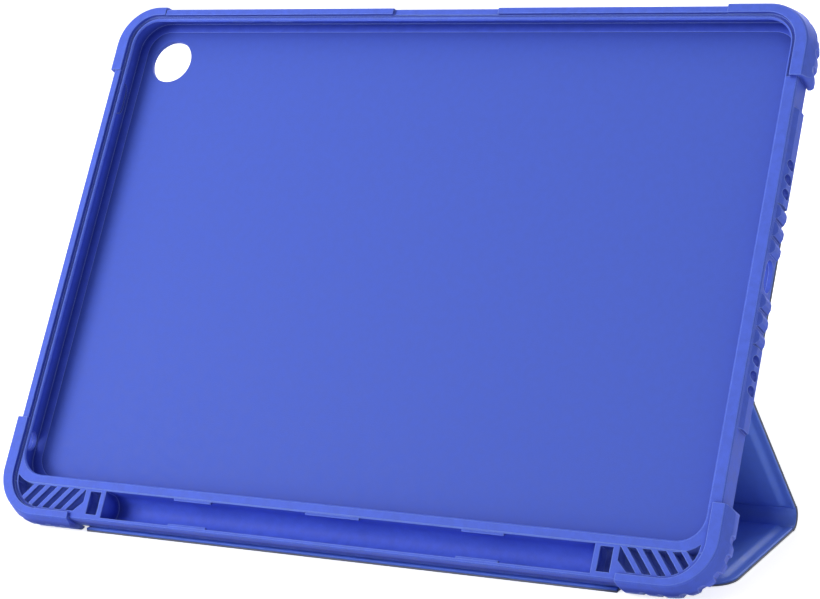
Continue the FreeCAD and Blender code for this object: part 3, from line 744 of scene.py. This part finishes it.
# Edge sections as (inset, height) in millimetres, in the order of their loops. Heights count
# from the face that the name's comment gives.
SKIN_CUT = ((0.12, 0.0), (0.0, 0.2))                              # the skin's inner face
SKIN_MARGIN = ((0.0, -0.2), (0.15, -0.05), (0.4, 0.0), (1.6, -0.02))      # the margin's face
LINING_CUT = ((0.3, 0.0), (0.0, -0.15))                           # the lining's inner face
LINING_FACE = ((0.0, 0.2), (0.2, 0.03), (0.6, 0.0))               # the lining's outer face
STRIP_FACE = ((0.0, 0.35), (0.12, 0.1), (0.5, 0.0), (2.0, 0.0))   # the strip's outer face


@dataclass
class FoldingCover:
    """The cover: spine, base, strut and flap, with the leather that joins them."""

    half_x: float = 126.0 * MM
    spine_half_x: float = 96.0 * MM
    thickness: float = 2.5 * MM
    skin: float = 0.7 * MM
    lining: float = 0.6 * MM
    lining_proud: float = 0.3 * MM       # the lining's edge beyond the skin's
    ply_gap: float = 0.02 * MM           # keeps touching sheets from lying in one plane
    bend_gap: float = 0.03 * MM          # the same, in the rear bend

    margin: float = 4.6 * MM             # pressed margin round each board
    bevel: float = 2.4 * MM              # soft shoulder inside the margin
    bevel_steps: int = 6
    crown: float = 6.0 * MM              # flat beyond the shoulder
    spine_end_share: float = 0.87        # insets at the ends, as a share of the side insets
    fold_end_share: float = 0.56
    seam_share: float = 0.05             # a lining hardly rounds over where it crosses a fold
    fold_radius: float = 0.6 * MM
    base_radius: float = 9.0 * MM
    flap_radius: float = 12.0 * MM

    strut_degrees: float = 129.5
    lean_degrees: float = 57.0
    base_start: float = 4.5 * MM
    strut_setback: float = 2.2 * MM
    flap_length: float = 63.5 * MM

    bend_radius: float = 3.35 * MM
    bend_steps: int = 24
    bend_lead: float = 0.2 * MM
    bend_run_degrees: float = 40.0       # slopes at the end of the bend
    bend_rise_degrees: float = 65.0

    crease_steps: int = 6
    crease_lead: float = 0.3 * MM
    crease_gap: float = 0.1 * MM         # between the flap crease and the flap's skin
    spine_steps: int = 8
    spine_foot: Point2 = (1.2 * MM, -0.6 * MM)
    spine_corner: Point2 = (-0.1 * MM, -0.35 * MM)
    spine_top_lift: float = 0.5 * MM
    spine_corner_lift: float = 0.2 * MM
    spine_crease_depth: float = 0.55 * MM

    strip_thickness: float = 1.1 * MM
    strip_bond: float = 0.05 * MM        # how far the strip's edge starts under its face
    strip_low_radius: float = 1.0 * MM
    strip_high_radius: float = 4.0 * MM

    def skin_profile(self) -> list[Point2]:
        """Loops of a skin sheet: cut edge, pressed margin, soft shoulder, crown."""
        low = -self.thickness / 2 + self.lining
        edge = low + self.skin
        high = self.thickness / 2
        loops = [(inset * MM, low + rise * MM) for inset, rise in SKIN_CUT]
        loops += [(inset * MM, edge + rise * MM) for inset, rise in SKIN_MARGIN]
        for step in range(self.bevel_steps + 1):
            share = step / self.bevel_steps
            smooth = share * share * (3 - 2 * share)
            loops.append((self.margin - self.bevel * (1 - share), edge + (high - edge) * smooth))
        loops.append((self.margin + self.crown, high))
        return loops

    def lining_profile(self) -> list[Point2]:
        """Loops of a lining sheet, drawn from the board side to the outside."""
        low = -self.thickness / 2
        high = low + self.lining - self.ply_gap
        loops = [(inset * MM, high + rise * MM) for inset, rise in LINING_CUT]
        return loops + [(inset * MM, low + rise * MM) for inset, rise in LINING_FACE]

    def spans(self) -> list[PanelSpan]:
        """Spans of the base, the strut and the flap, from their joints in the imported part."""
        base = fold_of("base_fold", 0.0)
        strut = fold_of("flap_fold", self.strut_degrees)
        flap = fold_of("flap_fold", self.lean_degrees)
        base_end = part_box("base_panel_skin")[1].y - base.pivot[0]
        return [
            PanelSpan(Body.BASE, base, self.base_start, base_end, self.base_radius,
                      self.fold_radius, self.spine_end_share, self.fold_end_share),
            PanelSpan(Body.STRUT, strut, -self.strut_length(), -self.strut_setback,
                      self.fold_radius, self.fold_radius, self.fold_end_share,
                      self.fold_end_share),
            PanelSpan(Body.FLAP, flap, self.strut_setback, self.flap_length, self.fold_radius,
                      self.flap_radius, self.fold_end_share, 1.0),
        ]

    def lining_share(self, radius: float) -> float:
        """Share of the inset at a lining's end with that corner radius."""
        return self.seam_share if radius <= self.fold_radius else 1.0

    def panels(self) -> list[bpy.types.Object]:
        """Builds skin and lining of the three stiff panels.

        Returns:
            The pieces.
        """
        pieces = []
        for span in self.spans():
            for ply in Ply:
                node = f"{span.body.value}_{ply.value}"
                if ply is Ply.SKIN:
                    proud, profile = 0.0, self.skin_profile()
                    shares = span.near_share, span.far_share
                else:
                    proud, profile = self.lining_proud, self.lining_profile()
                    shares = (self.lining_share(span.near_radius),
                              self.lining_share(span.far_radius))
                end = span.end + (proud if span.body is Body.FLAP else 0.0)
                piece = PanelSheet(
                    name=f"{node}_sheet", body=span.body, fold=span.fold, ply=ply,
                    half_x=self.half_x + proud, y0=span.start, y1=end, near=span.near_radius,
                    far=span.far_radius, profile=profile, near_share=shares[0],
                    far_share=shares[1],
                ).build()
                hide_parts(node)
                pieces.append(piece)
        return pieces

    def strip_over_fold(self, name: str, ply: Ply, line: Sequence[Point2],
                        depth: float) -> bpy.types.Object:
        """Builds one layer of the full-width leather over a fold.

        Args:
            name: Name of the piece, without its layer.
            ply: The layer.
            line: Its section's face as (y, z).
            depth: Its thickness.

        Returns:
            The piece, not riding yet.
        """
        proud = self.lining_proud if ply is Ply.LINING else 0.0
        return BentSheet(f"{name}_{ply.value}_sheet", ply, self.half_x + proud, line,
                         depth).build()

    def strut_length(self) -> float:
        """Length from the strut's lower edge to the fold at the case's back."""
        fold = fold_of("flap_fold", self.strut_degrees)
        centre = Vector((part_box("rear_bend")[1].y - self.bend_radius - self.thickness / 2,
                         self.thickness / 2 + self.bend_radius))
        turn = math.radians(self.strut_degrees)
        start = centre + self.bend_radius * Vector((math.sin(turn), -math.cos(turn)))
        return (Vector(fold.pivot) - start).length

    def rear_bend(self) -> list[bpy.types.Object]:
        """Builds the soft arc between base and strut.

        Returns:
            Its skin and lining.
        """
        outer = self.bend_radius + self.thickness / 2
        centre = (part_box("rear_bend")[1].y - outer, outer)
        pieces = []
        for ply, radius, depth in (
            (Ply.SKIN, outer - self.skin - self.lining, self.skin),
            (Ply.LINING, outer - self.lining, self.lining - self.bend_gap),
        ):
            line = []
            for step in range(self.bend_steps + 1):
                turned = self.strut_degrees * step / self.bend_steps
                angle = math.radians(self.strut_degrees - 90.0 - turned)
                line.append((centre[0] + radius * math.cos(angle),
                             centre[1] + radius * math.sin(angle)))
            pieces.append(self.strip_over_fold("rear_bend", ply, line, depth))
        for piece in pieces:
            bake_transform(piece)
        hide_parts("rear_bend")
        return pieces

    def flap_crease(self) -> list[bpy.types.Object]:
        """Builds the leather over the fold at the case's back.

        Returns:
            Its skin and lining.
        """
        near = fold_of("flap_fold", self.strut_degrees)
        far = fold_of("flap_fold", self.lean_degrees)
        reach = self.strut_setback
        low = -self.thickness / 2
        slope = math.tan(math.radians(self.strut_degrees - self.lean_degrees) / 2)
        pieces = []
        for ply, z, depth in (
            (Ply.LINING, low + self.ply_gap, self.lining - 2 * self.ply_gap),
            (Ply.SKIN, low + self.lining, self.skin),
        ):
            mitre = z * slope            # both panels meet here at this height
            line = []
            for step in range(self.crease_steps + 1):
                y = -reach + (reach + mitre) * step / self.crease_steps
                line.append(tuple(near.world(0, y, z))[1:])
            for step in range(1, self.crease_steps + 1):
                y = -mitre + (reach - self.crease_gap + mitre) * step / self.crease_steps
                line.append(tuple(far.world(0, y, z))[1:])
            piece = self.strip_over_fold("flap_crease", ply, line, depth)
            near.world(0, -reach, 0)
            far.world(0, reach, 0)
            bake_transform(piece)
            pieces.append(piece)
        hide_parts("flap_crease")
        return pieces

    def spine_strip(self) -> list[bpy.types.Object]:
        """Builds the soft strip under the case.

        Returns:
            Its skin and lining, riding on the spine.
        """
        pieces = []
        for ply in Ply:
            node = f"spine_{ply.value}"
            low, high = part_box(node)
            line = level_line(low.y, high.y, low.z, self.spine_steps)
            piece = BentSheet(f"{node}_sheet", ply, self.spine_half_x, line,
                              high.z - low.z).build()
            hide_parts(node)
            pieces.append(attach(piece, Body.SPINE.value))
        return pieces

    def base_crease(self) -> list[bpy.types.Object]:
        """Builds the leather between the spine and the base panel.

        Returns:
            Its skin and lining.
        """
        low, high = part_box("base_crease")
        pieces = []
        for ply, z, depth in ((Ply.SKIN, low.z + self.lining, self.skin),
                              (Ply.LINING, low.z, self.lining - self.ply_gap)):
            line = level_line(low.y, high.y, z, 2 * self.spine_steps)
            piece = BentSheet(f"base_crease_{ply.value}_sheet", ply, self.spine_half_x, line,
                              depth).build()
            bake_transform(piece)
            pieces.append(piece)
        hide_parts("base_crease")
        return pieces

    def spine_crease(self) -> bpy.types.Object:
        """Builds the leather folded under the case's lower back edge.

        Returns:
            The piece.
        """
        pivot = Vector(fold_of("spine_fold", 0.0).pivot)
        turn = math.radians(self.lean_degrees)
        out = Vector((math.sin(turn), -math.cos(turn)))
        foot = pivot + Vector(self.spine_foot)
        corner = pivot + Vector(self.spine_corner) + out * self.spine_corner_lift
        top = self.strip_foot() + out * self.spine_top_lift
        line = []
        for step in range(2 * self.crease_steps + 1):
            share = step / (2 * self.crease_steps)
            point = (1 - share) ** 2 * top + 2 * share * (1 - share) * corner + share ** 2 * foot
            line.append((point.x, point.y))
        piece = BentSheet("spine_crease_sheet", Ply.SKIN, self.spine_half_x, line,
                          self.spine_crease_depth).build()
        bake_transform(piece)
        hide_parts("spine_crease")
        return piece

    def strip_foot(self) -> Vector:
        """Lower end of the glued strip's inner face, as (y, z)."""
        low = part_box("anchor_strip")[0]
        turn = math.radians(self.lean_degrees)
        return Vector((low.y, low.z + self.strip_thickness * math.cos(turn)))

    def anchor(self) -> bpy.types.Object:
        """Builds the leather strip glued to the case's back.

        Returns:
            The piece, riding on the shell.
        """
        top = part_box("anchor_strip")[1].z
        foot = self.strip_foot()
        length = (top - foot.y) / math.sin(math.radians(self.lean_degrees))
        depth = self.strip_thickness
        profile = [(0.0, -self.strip_bond)]
        profile += [(inset * MM, rise * MM - depth) for inset, rise in STRIP_FACE]
        piece = PanelSheet(
            name="anchor_strip_sheet", body=Body.SHELL, fold=Fold(tuple(foot), self.lean_degrees),
            ply=Ply.SKIN, half_x=self.spine_half_x, y0=0.0, y1=length,
            near=self.strip_low_radius, far=self.strip_high_radius, profile=profile,
        ).build()
        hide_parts("anchor_strip")
        return piece

    def build(self) -> list[bpy.types.Object]:
        """Builds every soft piece of the cover.

        Returns:
            The pieces.
        """
        return (self.panels() + self.rear_bend() + self.flap_crease() + self.spine_strip()
                + self.base_crease() + [self.spine_crease(), self.anchor()])


# ---------------------------------------------------------------- studio
@dataclass(frozen=True)
class Lamp:
    """A square soft lamp aimed at the case."""

    name: str
    place: Point3
    size: float
    watts: float

    def hang(self) -> None:
        """Adds the lamp to the scene."""
        data = bpy.data.lights.new(self.name, "AREA")
        data.shape = "SQUARE"
        data.size = self.size
        data.energy = self.watts
        lamp = bpy.data.objects.new(self.name, data)
        lamp.location = self.place
        aim = Vector(LAMP_TARGET) - Vector(self.place)
        lamp.rotation_euler = aim.to_track_quat("-Z", "Y").to_euler()
        bpy.context.scene.collection.objects.link(lamp)


LAMP_TARGET = (0.0, 0.0, 0.08)
FLOOR_COLUMNS = (-1.0, -0.5, 0.0, 0.5, 1.0)      # over half the floor's width
LAMPS = (
    Lamp("key_softbox", (-0.62, -0.72, 0.46), 0.55, 6.4),
    Lamp("overhead_softbox", (-0.3, -0.2, 1.7), 1.4, 5.5),
    Lamp("rear_softbox", (0.2, 1.3, 0.9), 1.2, 16.0),
)


def direct_ray(graph: Graph) -> bpy.types.NodeSocket:
    """Output that is 1 for rays seen directly, mirrored or through glass, and 0 for others."""
    rays = graph.add("LightPath")
    seen = graph.math("MAXIMUM", rays.outputs["Is Camera Ray"], rays.outputs["Is Glossy Ray"])
    return graph.math("MAXIMUM", seen, rays.outputs["Is Transmission Ray"])


@dataclass
class Studio:
    """Pale floor, soft lamps and the camera."""

    floor_half: float = 4.0
    floor_steps: int = 10
    cove_radius: float = 1.0
    cove_steps: int = 12
    floor_white: Colour = (0.86, 0.86, 0.87)
    floor_glow: float = 0.72
    world_light: float = 0.3             # strength for rays that only light the scene

    lens: float = 106.17
    sensor_width: float = 36.0
    clip_start: float = 0.01
    offset: Point3 = (0.3729, -0.6762, 0.1521)
    yaw_degrees: float = -28.52
    pitch_degrees: float = -12.23
    roll_degrees: float = -3.29
    glass_height: float = 7.9 * MM       # the tablet's face over its seat

    def floor(self) -> bpy.types.Object:
        """Builds the floor with a cove at its far side.

        Returns:
            The floor.
        """
        half, radius = self.floor_half, self.cove_radius
        section = [(-half, 0.0)] + level_line(0.0, half, 0.0, self.floor_steps)
        for step in range(1, self.cove_steps + 1):
            angle = math.radians(90 * step / self.cove_steps)
            section.append((half + radius * math.sin(angle), radius - radius * math.cos(angle)))
        section.append((half + radius, half))
        mesh = bmesh.new()
        rows = [[mesh.verts.new((half * share, y, z)) for share in FLOOR_COLUMNS]
                for y, z in section]
        for near, far in zip(rows, rows[1:]):
            for index in range(len(near) - 1):
                mesh.faces.new((near[index], near[index + 1], far[index + 1], far[index]))
        data = bpy.data.meshes.new("studio_floor")
        mesh.to_mesh(data)
        mesh.free()
        floor = bpy.data.objects.new("studio_floor", data)
        bpy.context.scene.collection.objects.link(floor)
        data.materials.append(self.floor_material())
        return floor

    def floor_material(self) -> bpy.types.Material:
        """Matte white that reads as white to the camera and keeps the object's shadow."""
        made = bpy.data.materials.new("studio_white")
        made.use_nodes = True
        made.node_tree.nodes.clear()
        graph = Graph(made.node_tree)
        matte = graph.add("BsdfDiffuse", in_Roughness=1.0, in_Color=(*self.floor_white, 1.0))
        glow = graph.add("Emission")
        graph.link(graph.math("MULTIPLY", direct_ray(graph), self.floor_glow),
                   glow.inputs["Strength"])
        both = graph.add("AddShader")
        graph.link(matte.outputs[0], both.inputs[0])
        graph.link(glow.outputs[0], both.inputs[1])
        graph.link(both.outputs[0], graph.add("OutputMaterial").inputs["Surface"])
        return made

    def light(self) -> None:
        """Hangs the lamps and sets a white world that lights the scene only a little."""
        for lamp in LAMPS:
            lamp.hang()
        world = bpy.data.worlds.new("studio_world")
        bpy.context.scene.world = world
        world.use_nodes = True
        graph = Graph(world.node_tree)
        back = world.node_tree.nodes["Background"]
        back.inputs["Color"].default_value = (1.0, 1.0, 1.0, 1.0)
        strength = graph.ramp(direct_ray(graph), 0.0, 1.0, self.world_light, 1.0)
        graph.link(strength, back.inputs["Strength"])

    def camera(self) -> None:
        """Places the camera in front and to the right of the glass."""
        seat = next(m for m in frame["record"]["mounts"] if m["name"] == "tablet_seat")
        glass = Vector(seat["pos_m"]) + Vector(seat["axis"]) * self.glass_height
        yaw, pitch = math.radians(self.yaw_degrees), math.radians(self.pitch_degrees)
        ahead = Vector((
            math.sin(yaw) * math.cos(pitch), math.cos(yaw) * math.cos(pitch), math.sin(pitch),
        ))
        roll = Matrix.Rotation(math.radians(self.roll_degrees), 3, "Z")
        data = bpy.data.cameras.new("camera")
        data.lens = self.lens
        data.sensor_width = self.sensor_width
        data.clip_start = self.clip_start
        camera = bpy.data.objects.new("camera", data)
        camera.location = glass + Vector(self.offset)
        camera.rotation_euler = (ahead.to_track_quat("-Z", "Y").to_matrix() @ roll).to_euler()
        bpy.context.scene.collection.objects.link(camera)
        bpy.context.scene.camera = camera

    def build(self) -> None:
        """Builds the studio."""
        self.floor()
        self.light()
        self.camera()
        bpy.context.scene.view_settings.view_transform = "Standard"


def main() -> None:
    """Builds the cover, dresses the solids and sets up the studio."""
    logging.basicConfig(level=logging.INFO, format="%(name)s: %(message)s")
    LOG.info("dressed %d solids", dress_solids())
    for piece in FoldingCover().build():
        LOG.info("built %s with %d faces", piece.name, len(piece.data.polygons))
    Studio().build()


if __name__ == "__main__":
    main()
